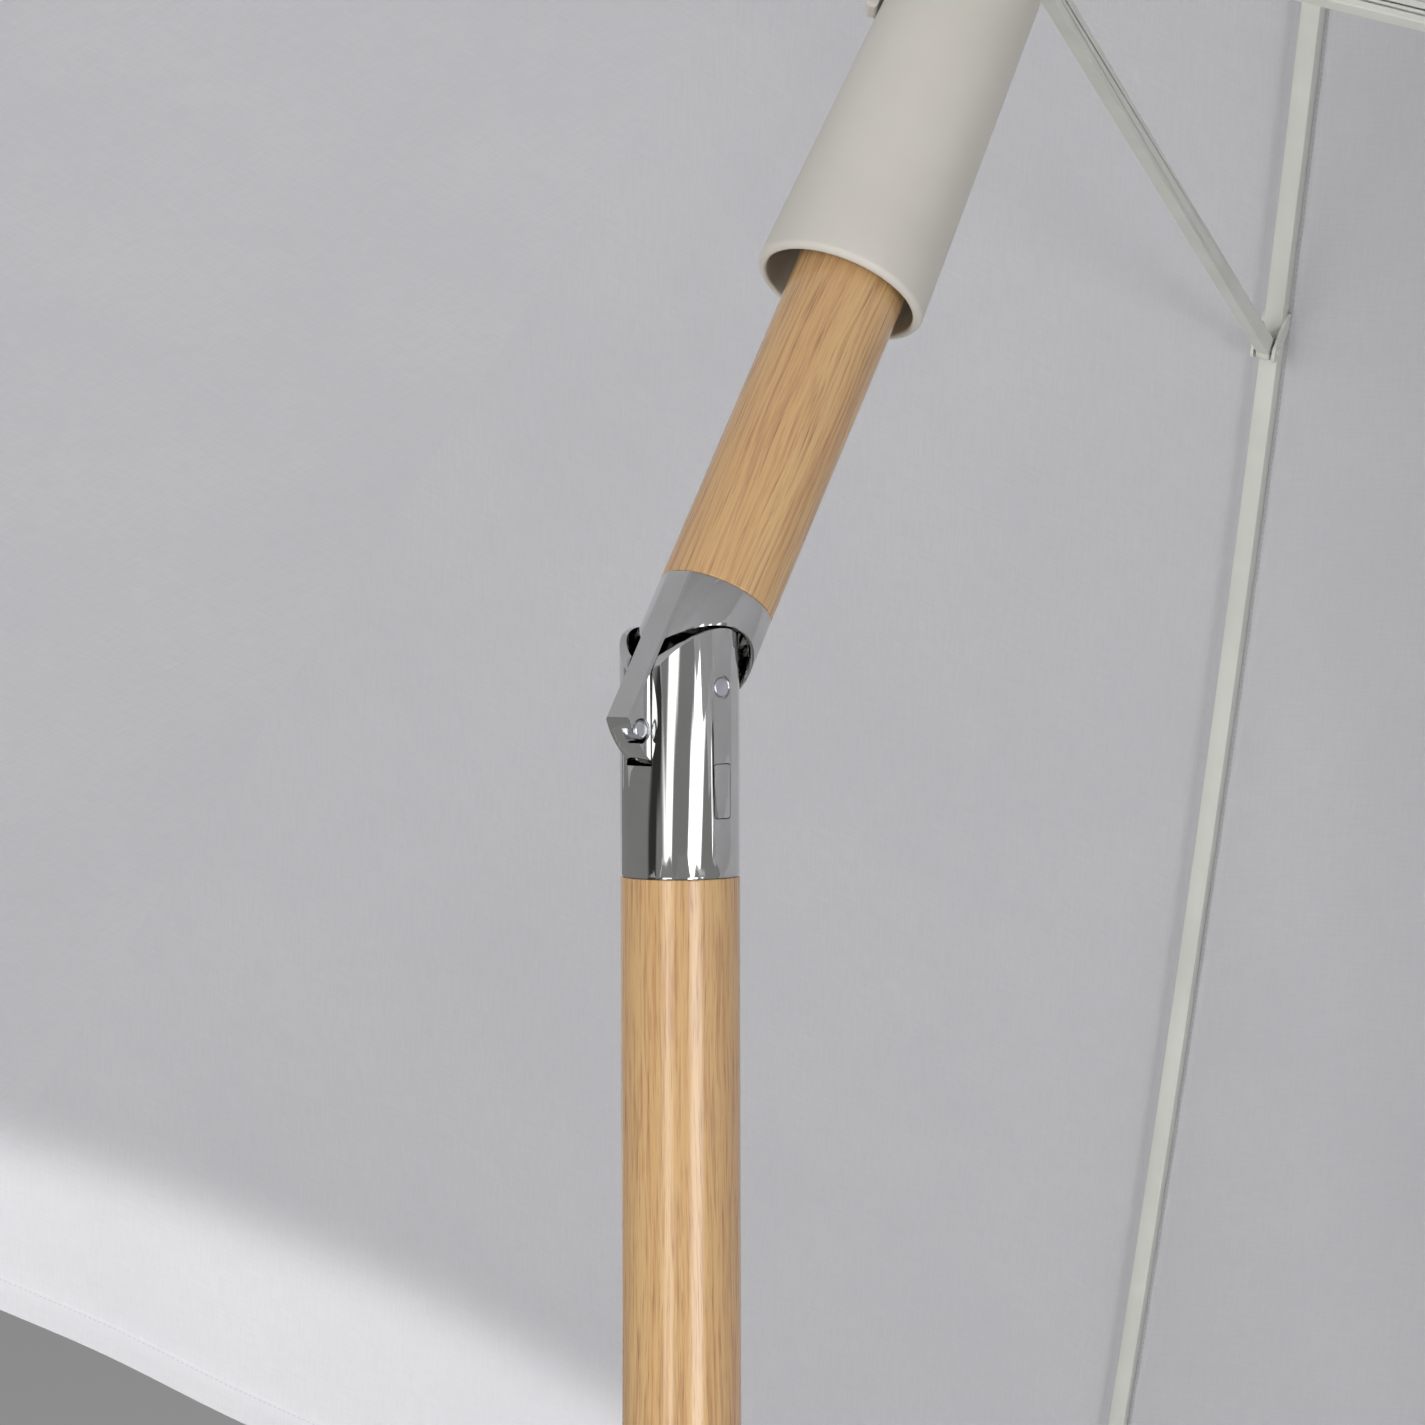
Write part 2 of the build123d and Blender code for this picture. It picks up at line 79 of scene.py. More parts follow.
# %% [markdown]
# ## Where things are
# The tilt joint's pin is the natural centre of this object: the lower pole stands under it and the
# upper pole, the *mast*, leans away from it. Its place and its lean come from the frame's joints, so
# nothing here has to be fitted by eye. Pieces on the mast are drawn upright first, with their heights
# counted from the pin, and are then leaned with one matrix.

# %% The pin and the mast
joints = {joint["name"]: joint for joint in frame["joints"]}
pin = np.array(joints["tilt"]["pos_m"], float)
mast_axis = np.array(joints["runner_slide"]["axis"], float)
lean = math.atan2(mast_axis[0], mast_axis[2])
MAST = np.array([[math.cos(lean), 0, math.sin(lean)], [0, 1, 0], [-math.sin(lean), 0, math.cos(lean)]])
RIBS = 6
FIRST_RIB = math.radians(30)


def on_mast(points):
    """Leans points drawn upright about the pin: each is turned by the lean and moved to the pin."""
    return np.asarray(points, float) @ MAST.T + pin


def rib_azimuth(number):
    """Angle of rib 1, 2, 3 ... round the mast, in radians."""
    return FIRST_RIB + (number - 1) * 2 * math.pi / RIBS


print("pin at", pin.round(4), "lean", round(math.degrees(lean), 2), "degrees")

# %% [markdown]
# ## The camera
# A long lens from under the raised side of the canopy, level with the joint. The canopy leans away
# from the camera to the right, and the camera's place is counted from the pin.

# %% Camera
VIEW_TURN = math.radians(45.86)      # how far the line of sight is turned from +Y towards +X
VIEW_PITCH = math.radians(-2.233)
VIEW_ROLL = math.radians(-0.16)
VIEW_DISTANCE = 1.4253
VIEW_ASIDE = 0.0104
VIEW_ABOVE = 0.0472
LENS, SENSOR = 113.7, 36             # millimetres
CLIP = (0.05, 100)

to_right = np.array([math.cos(VIEW_TURN), -math.sin(VIEW_TURN), 0.0])
level_sight = np.array([math.sin(VIEW_TURN), math.cos(VIEW_TURN), 0.0])
sight = level_sight * math.cos(VIEW_PITCH) + np.array([0, 0, math.sin(VIEW_PITCH)])
upward = np.cross(to_right, sight)
camera_x = math.cos(VIEW_ROLL) * to_right + math.sin(VIEW_ROLL) * upward
camera_y = math.cos(VIEW_ROLL) * upward - math.sin(VIEW_ROLL) * to_right
camera_place = pin + VIEW_ASIDE * to_right - VIEW_DISTANCE * level_sight + [0, 0, VIEW_ABOVE]

camera_data = bpy.data.cameras.new("camera")
camera_data.lens = LENS
camera_data.sensor_width = SENSOR
camera_data.clip_start, camera_data.clip_end = CLIP
camera = bpy.data.objects.new("camera", camera_data)
scene.collection.objects.link(camera)
turn = np.stack([camera_x, camera_y, -sight], axis=1)
camera.matrix_world = Matrix.Translation(camera_place) @ Matrix(turn.tolist()).to_4x4()
scene.camera = camera
print("camera at", camera_place.round(3))

# %% [markdown]
# ## Making surfaces
# Most new pieces are grids of points: one direction follows a profile, the other goes round or along.
# One helper turns such a grid into a mesh with a UV map in metres, so that a grain or a weave keeps
# its real scale, and another lathes a profile. Closed directions share their first and last points.

# %% Grid helpers
def grid_mesh(name, points, closed=(False, False), uv=None, material=None):
    """A mesh from an (m, n, 3) grid. Face (i, j) joins points (i, j), (i+1, j), (i+1, j+1), (i, j+1),
    counted round past the last row or column where that direction is closed."""
    rows, columns = points.shape[:2]
    i = np.arange(rows if closed[0] else rows - 1)
    j = np.arange(columns if closed[1] else columns - 1)
    i, j = (a.ravel() for a in np.meshgrid(i, j, indexing="ij"))
    corner_i = np.stack([i, i + 1, i + 1, i], axis=1)
    corner_j = np.stack([j, j, j + 1, j + 1], axis=1)
    faces = (corner_i % rows) * columns + corner_j % columns
    mesh = bpy.data.meshes.new(name)
    mesh.from_pydata(points.reshape(-1, 3), [], faces)
    if uv is not None:
        # UV values are read past the seam as well, so that the map doesn't run backwards there
        layer = mesh.uv_layers.new(name="metres")
        layer.data.foreach_set("uv", uv[corner_i, corner_j].reshape(-1))
    mesh.polygons.foreach_set("use_smooth", np.ones(len(faces), bool))
    mesh.validate()
    piece = bpy.data.objects.new(name, mesh)
    scene.collection.objects.link(piece)
    if material:
        mesh.materials.append(material)
    return piece


def lathe(name, profile, segments, place=lambda p: p, material=None):
    """A closed profile of (radius, height) turned round the Z axis: x = r cos a, y = r sin a. The
    profile runs up its outer side, and its order is reversed so that the faces point outwards. U is
    the arc length round at the widest radius and V the height, both in metres."""
    profile = np.asarray(profile, float)[::-1]
    angle = np.linspace(0, 2 * math.pi, segments, endpoint=False)
    r, z = profile[:, 0:1], profile[:, 1:2]
    points = np.stack([r * np.cos(angle), r * np.sin(angle), z + 0 * angle], axis=2)
    around = np.linspace(0, 2 * math.pi * profile[:, 0].max(), segments + 1)
    along = np.append(profile[:, 1], profile[0, 1])
    uv = np.stack(np.meshgrid(around, along), axis=2)
    piece = grid_mesh(name, place(points), (True, True), uv, material)
    mark_sharp(piece)
    return piece


def mark_sharp(piece, limit=math.radians(40)):
    """Edges where two faces meet at more than the limit stay crisp; all others shade smoothly."""
    mesh = piece.data
    normals = np.zeros(len(mesh.polygons) * 3)
    mesh.polygons.foreach_get("normal", normals)
    normals = normals.reshape(-1, 3)
    loops_edge = np.zeros(len(mesh.loops), int)
    mesh.loops.foreach_get("edge_index", loops_edge)
    starts = np.zeros(len(mesh.polygons), int)
    totals = np.zeros(len(mesh.polygons), int)
    mesh.polygons.foreach_get("loop_start", starts)
    mesh.polygons.foreach_get("loop_total", totals)
    owner = np.repeat(np.arange(len(starts)), totals)
    order = np.argsort(loops_edge, kind="stable")
    edge, face = loops_edge[order], owner[order]
    same = np.flatnonzero(edge[1:] == edge[:-1])
    cosine = (normals[face[same]] * normals[face[same + 1]]).sum(1)
    sharp = np.zeros(len(mesh.edges), bool)
    sharp[edge[same]] = cosine < math.cos(limit)
    attribute = mesh.attributes.get("sharp_edge")
    attribute = attribute or mesh.attributes.new("sharp_edge", "BOOLEAN", "EDGE")
    attribute.data.foreach_set("value", sharp)


# %% [markdown]
# ## Shader building blocks
# Real surfaces are never one even colour. Three effects come back in several finishes, so each is a
# node group with its own inputs: *mottle*, a slow drift in tone with a fine speckle over it; *grain*,
# the long streaks of the oak foil; and *weave*, the plain weave of the canopy.

# %% Node helpers
def new_group(name, inputs, outputs):
    """An empty shader node group with the named float or vector inputs and outputs."""
    group = bpy.data.node_groups.new(name, "ShaderNodeTree")
    for label, kind, default in inputs:
        socket = group.interface.new_socket(label, in_out="INPUT", socket_type=kind)
        if default is not None:
            socket.default_value = default
    for label, kind in outputs:
        group.interface.new_socket(label, in_out="OUTPUT", socket_type=kind)
    return group, group.nodes.new("NodeGroupInput"), group.nodes.new("NodeGroupOutput")


FLOAT, VECTOR = "NodeSocketFloat", "NodeSocketVector"


class Wires:
    """Short ways to add and join nodes in one tree."""

    def __init__(self, tree):
        self.tree = tree

    def put(self, socket, value):
        if isinstance(value, bpy.types.NodeSocket):
            self.tree.links.new(value, socket)
        else:
            socket.default_value = value

    def node(self, kind, values=None, **settings):
        made = self.tree.nodes.new(kind)
        for key, value in settings.items():
            setattr(made, key, value)
        for key, value in (values or {}).items():
            self.put(made.inputs[key], value)
        return made

    def math(self, operation, a, b=0.0, c=0.0):
        made = self.node("ShaderNodeMath", operation=operation)
        for socket, value in zip(made.inputs, (a, b, c)):
            self.put(socket, value)
        return made.outputs[0]

    def add(self, vector, other):
        return self.node("ShaderNodeVectorMath", {0: vector, 1: other}, operation="ADD").outputs[0]

    def stretch(self, vector, scale):
        return self.node("ShaderNodeVectorMath", {0: vector, 1: scale}, operation="MULTIPLY").outputs[0]

    def noise(self, vector, scale, detail, roughness):
        made = self.node("ShaderNodeTexNoise", {"Vector": vector, "Scale": scale, "Detail": detail,
                                                "Roughness": roughness})
        return made.outputs["Fac"]

    def ramp(self, value, low, high):
        made = self.node("ShaderNodeMapRange", {"Value": value, "From Min": low, "From Max": high},
                         interpolation_type="SMOOTHSTEP")
        return made.outputs["Result"]

    def mix(self, factor, a, b):
        made = self.node("ShaderNodeMix", data_type="RGBA")
        for socket, value in ((made.inputs[0], factor), (made.inputs[6], a), (made.inputs[7], b)):
            self.put(socket, value)
        return made.outputs[2]

    def bump(self, height, strength, distance):
        made = self.node("ShaderNodeBump", {"Height": height, "Strength": strength, "Distance": distance})
        return made.outputs[0]


def rgb(red, green, blue):
    """A colour given as it looks on a screen, 0 to 255, turned into linear light."""
    screen = np.array([red, green, blue]) / 255
    linear = np.where(screen <= 0.04045, screen / 12.92, ((screen + 0.055) / 1.055) ** 2.4)
    return (*linear, 1.0)


# %% Mottle group
mottle_group, mottle_in, mottle_out = new_group(
    "mottle", [("Vector", VECTOR, None), ("Patch Size", FLOAT, 0.05), ("Speckle Size", FLOAT, 0.002)],
    [("Patch", FLOAT), ("Speckle", FLOAT)])
wires = Wires(mottle_group)
per_patch = wires.math("DIVIDE", 1.0, mottle_in.outputs["Patch Size"])
per_speckle = wires.math("DIVIDE", 1.0, mottle_in.outputs["Speckle Size"])
patch = wires.noise(mottle_in.outputs["Vector"], per_patch, 3.0, 0.55)
speckle = wires.noise(mottle_in.outputs["Vector"], per_speckle, 1.0, 0.5)
wires.put(mottle_out.inputs["Patch"], wires.ramp(patch, 0.3, 0.7))
wires.put(mottle_out.inputs["Speckle"], speckle)

# %% Grain group
grain_group, grain_in, grain_out = new_group(
    "grain", [("Vector", VECTOR, None), ("Seed", FLOAT, 0.0)],
    [("Tone", FLOAT), ("Streak", FLOAT), ("Pore", FLOAT)])
wires = Wires(grain_group)
shift = wires.node("ShaderNodeCombineXYZ", {"Z": grain_in.outputs["Seed"]}).outputs[0]
moved = wires.add(grain_in.outputs["Vector"], shift)
# the growth lines wander slowly from side to side along the pole
wander = wires.noise(wires.stretch(moved, (30.0, 9.0, 1.0)), 1.0, 2.0, 0.5)
wander = wires.math("MULTIPLY", wires.math("SUBTRACT", wander, 0.5), 0.007)
aside = wires.node("ShaderNodeCombineXYZ", {"X": wander}).outputs[0]
bent = wires.add(moved, aside)
tone = wires.noise(wires.stretch(bent, (90.0, 2.5, 1.0)), 1.0, 3.0, 0.6)
streak = wires.noise(wires.stretch(bent, (900.0, 24.0, 1.0)), 1.0, 3.0, 0.65)
pore = wires.noise(wires.stretch(bent, (2100.0, 70.0, 1.0)), 1.0, 2.0, 0.55)
wires.put(grain_out.inputs["Tone"], wires.ramp(tone, 0.35, 0.65))
wires.put(grain_out.inputs["Streak"], wires.ramp(streak, 0.44, 0.66))
wires.put(grain_out.inputs["Pore"], wires.ramp(pore, 0.50, 0.72))

# %% Weave group
weave_group, weave_in, weave_out = new_group(
    "weave", [("Vector", VECTOR, None), ("Thread", FLOAT, 0.0006)], [("Height", FLOAT), ("Slub", FLOAT)])
wires = Wires(weave_group)
per_thread = wires.math("DIVIDE", math.pi, weave_in.outputs["Thread"])
scaled = wires.node("ShaderNodeVectorMath", {0: weave_in.outputs["Vector"]}, operation="SCALE")
wires.put(scaled.inputs["Scale"], per_thread)
split = wires.node("ShaderNodeSeparateXYZ", {0: scaled.outputs[0]})
across = wires.math("SINE", split.outputs["X"])
along = wires.math("SINE", split.outputs["Y"])
over_under = wires.math("MULTIPLY", across, along)
wires.put(weave_out.inputs["Height"], wires.math("MULTIPLY_ADD", over_under, 0.5, 0.5))
slub = wires.noise(wires.stretch(weave_in.outputs["Vector"], (900.0, 60.0, 1.0)), 1.0, 2.0, 0.6)
slub_across = wires.noise(wires.stretch(weave_in.outputs["Vector"], (60.0, 900.0, 1.0)), 1.0, 2.0, 0.6)
both_ways = wires.math("ADD", slub, slub_across)
wires.put(weave_out.inputs["Slub"], wires.math("MULTIPLY", both_ways, 0.5))
print("node groups:", [group.name for group in bpy.data.node_groups])

# %% [markdown]
# ## Finishes
# Each finish is one material. Numbers that are even over a whole surface sit on the shader's own
# sockets; colour, roughness and bump come from the groups above.

# %% Material helper
def finish(name, colour, roughness, metallic=0.0, specular=0.5, sheen=0.0):
    """A material with a Principled shader and its wires, ready for more nodes."""
    material = bpy.data.materials.new(name)
    material.use_nodes = True
    shader = material.node_tree.nodes["Principled BSDF"]
    shader.inputs["Base Color"].default_value = colour
    shader.inputs["Roughness"].default_value = roughness
    shader.inputs["Metallic"].default_value = metallic
    shader.inputs["Specular IOR Level"].default_value = specular
    shader.inputs["Sheen Weight"].default_value = sheen
    return material, shader, Wires(material.node_tree)


def group_node(wires, group, values):
    """One of the shared groups, placed in a material with its own values."""
    made = wires.node("ShaderNodeGroup", node_tree=group)
    for key, value in values.items():
        wires.put(made.inputs[key], value)
    return made.outputs


def speckled(name, colour, second, roughness, patch_size, speckle_size, bump=0.02, spread=0.08,
             **shader_values):
    """A finish whose colour drifts towards a second one and whose roughness and relief carry a fine
    speckle: moulded plastic, powder coat and plating differ only in these values."""
    material, shader, wires = finish(name, colour, roughness, **shader_values)
    here = wires.node("ShaderNodeTexCoord").outputs["Object"]
    mottle = group_node(wires, mottle_group, {"Vector": here, "Patch Size": patch_size,
                                              "Speckle Size": speckle_size})
    wires.put(shader.inputs["Base Color"], wires.mix(mottle["Patch"], colour, second))
    rough = wires.math("MULTIPLY_ADD", mottle["Speckle"], 2 * spread, roughness - spread)
    wires.put(shader.inputs["Roughness"], rough)
    wires.put(shader.inputs["Normal"], wires.bump(mottle["Speckle"], bump, 0.0002))
    return material


# %% Metals and plastics
chrome = speckled("chrome", rgb(212, 212, 211), rgb(206, 206, 204), 0.055, 0.02, 0.0008, bump=0.008,
                  spread=0.03, metallic=1.0)
zinc = speckled("zinc", rgb(226, 228, 234), rgb(205, 207, 214), 0.22, 0.004, 0.0004, bump=0.06,
                spread=0.06, metallic=1.0)
spring_steel = speckled("spring_steel", rgb(150, 150, 152), rgb(120, 118, 116), 0.3, 0.006, 0.0005,
                        metallic=1.0)
dark_nylon = speckled("dark_nylon", rgb(34, 34, 36), rgb(24, 24, 26), 0.45, 0.01, 0.0006, bump=0.1)
sleeve_plastic = speckled("sleeve_plastic", rgb(205, 201, 193), rgb(200, 196, 187), 0.46, 0.06, 0.0011,
                          bump=0.10, spread=0.05, specular=0.4)
powder_coat = speckled("powder_coat", rgb(219, 221, 213), rgb(211, 213, 205), 0.42, 0.05, 0.0008,
                       bump=0.16, spread=0.05)
SLOT_FINISH = {"chrome": chrome, "zinc": zinc, "spring_steel": spring_steel, "dark_plastic": dark_nylon,
               "white_plastic": sleeve_plastic, "white_steel": powder_coat}
for entry in frame["record"]["subparts"]:
    material = SLOT_FINISH.get(entry["material_slot"])
    if material:
        nodes[entry["node"]].data.materials.clear()
        nodes[entry["node"]].data.materials.append(material)
print("finishes:", sorted(SLOT_FINISH))

# %% [markdown]
# ## Oak foil
# The poles are steel tubes wrapped in a printed foil: straight oak grain under a satin lacquer. The
# foil's pattern is flat print, so its colour varies strongly and its relief hardly at all. The pattern
# follows the tube's own UV map, in metres, with U round the tube and V along it.

# %% Foil material
OAK_LIGHT = rgb(205, 169, 118)
OAK_DEEP = rgb(198, 159, 111)
OAK_STREAK = rgb(170, 125, 91)
OAK_PORE = rgb(129, 89, 64)


def oak_foil(name, seed):
    """Printed oak: a slow tone, pinkish brown streaks and fine dark pores, all drawn out along V."""
    material, shader, wires = finish(name, OAK_LIGHT, 0.15, specular=0.8)
    metres = wires.node("ShaderNodeUVMap", uv_map="metres").outputs[0]
    grain = group_node(wires, grain_group, {"Vector": metres, "Seed": seed})
    colour = wires.mix(grain["Tone"], OAK_LIGHT, OAK_DEEP)
    colour = wires.mix(wires.math("MULTIPLY", grain["Streak"], 0.66), colour, OAK_STREAK)
    pores = wires.math("MULTIPLY", grain["Pore"], wires.math("MULTIPLY_ADD", grain["Streak"], 0.4, 0.25))
    colour = wires.mix(pores, colour, OAK_PORE)
    wires.put(shader.inputs["Base Color"], colour)
    mottle = group_node(wires, mottle_group, {"Vector": metres, "Patch Size": 0.02,
                                              "Speckle Size": 0.0007})
    relief = wires.math("MULTIPLY_ADD", grain["Pore"], -0.3, mottle["Speckle"])
    wires.put(shader.inputs["Normal"], wires.bump(relief, 0.5, 0.00003))
    rough = wires.math("MULTIPLY_ADD", mottle["Speckle"], 0.14, 0.08)
    wires.put(shader.inputs["Roughness"], rough)
    return material


# %% Poles
POLE_SIDES = 160
END_ROUNDING = 0.0004


def pole(name, bottom, top, outer, inner, place, material):
    """A tube: its wall's section, a rectangle with small roundings at the outer corners, goes once
    round the axis. Rows along the length keep the UV map even."""
    turn = np.linspace(0, math.pi / 2, 5)
    e = END_ROUNDING
    low = np.stack([outer - e + e * np.sin(turn), bottom + e - e * np.cos(turn)], axis=1)
    high = np.stack([outer - e + e * np.cos(turn), top - e + e * np.sin(turn)], axis=1)
    middle = np.linspace(bottom, top, 9)[1:-1]
    outside = np.stack([np.full(7, outer), middle], axis=1)
    bore = np.array([[inner, top], [inner, bottom]])
    return lathe(name, np.vstack([low, outside, high, bore]), POLE_SIDES, place, material)


POLE_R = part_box("lower_pole")[1].x
POLE_WALL = 0.0015
POLE_BORE = POLE_R - POLE_WALL
HEAD_RISE = 0.0313          # the joint's upper seam, up the mast from the pin
SEAM = 0.00025              # half the fine gap where foil meets plating
lower_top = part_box("lower_pole")[1].z
lower_pole = pole("lower_pole_foil", 0.0, lower_top - SEAM, POLE_R, POLE_BORE, lambda p: p,
                  oak_foil("oak_foil_lower", 0.0))
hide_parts("lower_pole")
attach(lower_pole, "pole")
POLE_TOP = 0.752            # up the mast from the pin
upper_pole = pole("upper_pole_foil", HEAD_RISE + SEAM, POLE_TOP, POLE_R, POLE_BORE, on_mast,
                  oak_foil("oak_foil_upper", 3.7))
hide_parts("upper_pole")
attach(upper_pole, "mast")
print("poles:", len(lower_pole.data.polygons), "+", len(upper_pole.data.polygons), "faces")

# %% [markdown]
# ## Softened edges
# Plated and moulded parts have no knife edges: a fine rounding catches the light along each one. The
# CAD pieces keep their own meshes; a Weld modifier joins their loose triangles and a small Bevel
# rounds the edges that are sharp.

# %% Edge rounding on CAD pieces
BEVEL_ANGLE = math.radians(35)


def soften(node, width, segments=2):
    """Welds a CAD node's triangles and rounds its sharp edges by the width."""
    piece = nodes[node]
    weld = piece.modifiers.new("weld", "WELD")
    weld.merge_threshold = 1e-6
    bevel = piece.modifiers.new("edge_rounding", "BEVEL")
    bevel.width = width
    bevel.segments = segments
    bevel.limit_method = "ANGLE"
    bevel.angle_limit = BEVEL_ANGLE
    bevel.harden_normals = True
    bevel.use_clamp_overlap = True


PRESSED_EDGE = 0.00025
MOULDED_EDGE = 0.0008
ROLLED_EDGE = 0.0006
for node in ("knuckle_base", "knuckle_head", "release_button", "pivot_pin", "stop_rivet", "lock_bolt"):
    soften(node, PRESSED_EDGE)
for node in ("runner_sleeve", "runner_hub", "crown_hub", "crown_cap"):
    soften(node, MOULDED_EDGE, segments=3)
for number in range(1, RIBS + 1):
    soften(f"stretcher_{number}", ROLLED_EDGE)
    soften(f"rib_{number}", ROLLED_EDGE)
    soften(f"rib_tip_{number}", ROLLED_EDGE)

# %% [markdown]
# ## Canopy
# Six gores of plain woven polyester are sewn together along the ribs. Between two ribs the cloth is
# pulled straight across, so a panel is curved one way only, like a bent sheet of card; a little
# shrinkage draws its middle inwards. Each rib carries its own half of the panels at either side, and
# the halves meet in the middle of a panel, where the cloth is smooth.

# %% Canopy surface
RIB_ROOT = (0.030, 0.760)
RIB_TIP = (1.515, -0.0389)
RIB_BOW = 0.0661
CANOPY_INNER = 0.044
CANOPY_OUTER = 1.530
CANOPY_LIFT = 0.0078        # cloth above the rib's middle line
HALF_STEP = math.pi / RIBS
middle_x = (RIB_ROOT[0] + RIB_TIP[0]) / 2
middle_z = (RIB_ROOT[1] + RIB_TIP[1]) / 2 + RIB_BOW


def circle_through(a, b, c):
    """Centre and radius of the circle through three points, from the two perpendicular bisectors."""
    a, b, c = (np.array(p, float) for p in (a, b, c))
    rows = np.stack([b - a, c - a])
    centre = np.linalg.solve(rows, (rows * (np.stack([b, c]) + a) / 2).sum(1))
    return centre, float(np.linalg.norm(a - centre))


arc_centre, arc_radius = circle_through(RIB_ROOT, (middle_x, middle_z), RIB_TIP)


def rib_height(distance):
    """Height of a rib's middle line above the pin, along its circle."""
    return arc_centre[1] + np.sqrt(arc_radius ** 2 - (distance - arc_centre[0]) ** 2)


SAG = 0.010
HEM_BULGE = 0.004            # the hem is cut a little full between the ribs
PUCKER = 0.00035
# fold creases: distance aside of the panel's middle, slant, middle and reach along the panel, height
CREASES = (
    (-0.045, 0.0, 0.70, 0.30, 0.0022), (0.07, 0.12, 0.75, 0.25, -0.0012), (-0.16, 0.05, 0.9, 0.35, 0.0014),
    (0.21, 0.03, 1.05, 0.3, -0.0012), (-0.31, 0.02, 1.2, 0.22, 0.0010), (-0.10, 0.35, 0.60, 0.16, -0.0012),
)
CREASE_SPREAD = 0.03


def soft_folds(distance, aside, number):
    """Slow waves in the cloth, a sum of sines that fade towards the seams and the crown: each panel
    has its own set of directions and phases, drawn from a seeded generator."""
    draw = np.random.default_rng(40 + number)
    total = np.zeros(np.broadcast(distance, aside).shape)
    for length, height in ((0.9, 0.0035), (0.55, 0.0022), (0.34, 0.0014), (0.21, 0.0008), (0.13, 0.0004)):
        for _ in range(2):
            heading, phase = draw.uniform(-0.9, 0.9), draw.uniform(0, 2 * math.pi)
            along_wave = distance * math.sin(heading) + aside * math.cos(heading)
            total += height * np.sin(2 * math.pi * along_wave / length + phase)
    return total


def creases(distance, aside):
    """Sharp lines left from folding: height times exp(-|offset| / spread), where the offset is taken
    from a slanted line along the panel, fading out at both of the line's ends."""
    total = np.zeros(np.broadcast(distance, aside).shape)
    for place, slant, middle, reach, height in CREASES:
        offset = np.abs(aside - place - slant * (distance - middle))
        total += height * np.exp(-offset / CREASE_SPREAD - ((distance - middle) / reach) ** 2)
    return total


def puckers(distance, from_seam, number):
    """Fine ripples where the thread draws the cloth in: sines along the seam, gone 40 mm away."""
    draw = np.random.default_rng(80 + number)
    total = np.zeros(np.broadcast(distance, from_seam).shape)
    for length in (0.061, 0.037, 0.023):
        phase = draw.uniform(0, 2 * math.pi)
        total += PUCKER * np.sin(2 * math.pi * distance / length + phase)
    return total * np.exp(-from_seam / 0.025) * np.clip(from_seam / 0.012, 0, 1)


def panel_point(distance, share, panel):
    """A point of the cloth in one panel, drawn upright. The rows across a panel are straight from
    rib to rib; share runs from 0 at the panel's first rib to 1 at its second. The cloth is then
    moved along the panel's own normal by sag, folds, creases and puckers."""
    spread = 2 * share - 1
    near_seam = 1 - spread ** 2
    reach = (distance - CANOPY_INNER) / (CANOPY_OUTER - CANOPY_INNER)
    bulge = HEM_BULGE * near_seam * reach ** 8
    out = (distance + bulge) * math.cos(HALF_STEP)
    aside = spread * (distance + bulge) * math.sin(HALF_STEP)
    height = rib_height(distance + bulge) + CANOPY_LIFT
    slope = (distance - arc_centre[0]) / (height - arc_centre[1]) / math.cos(HALF_STEP)
    length = np.sqrt(1 + slope ** 2)
    fade = near_seam * np.clip(4 * reach, 0, 1)
    inward = SAG * near_seam * np.sin(math.pi * np.clip(reach, 0, 1))
    inward = inward + fade * (soft_folds(distance, aside, panel) + creases(distance, aside))
    inward = inward + puckers(distance, distance * (0.5 - np.abs(share - 0.5)), panel)
    out = out - inward * slope / length
    height = height - inward / length
    middle = rib_azimuth(panel) + HALF_STEP
    x = out * math.cos(middle) - aside * math.sin(middle)
    y = out * math.sin(middle) + aside * math.cos(middle)
    return np.stack([x, y, height + 0 * aside], axis=-1)


# %% [markdown]
# ## Canopy cloth
# Plain weave polyester, sewn with a doubled seam over each rib and a turned-up hem. The seam and the
# hem are real thickness in the mesh; the weave and the rows of stitches are relief in the material,
# placed by the gore's own UV map, whose U is the distance aside of the rib and V the distance out.

# %% Canopy cloth material
SEAM_HALF = 0.009
HEM_WIDTH = 0.020
STITCH_LENGTH = 0.0032
STITCH_HALF = 0.00045
SEAM_STITCH_IN, HEM_STITCH_IN = 0.0015, 0.002       # how far the stitches lie in from the folds


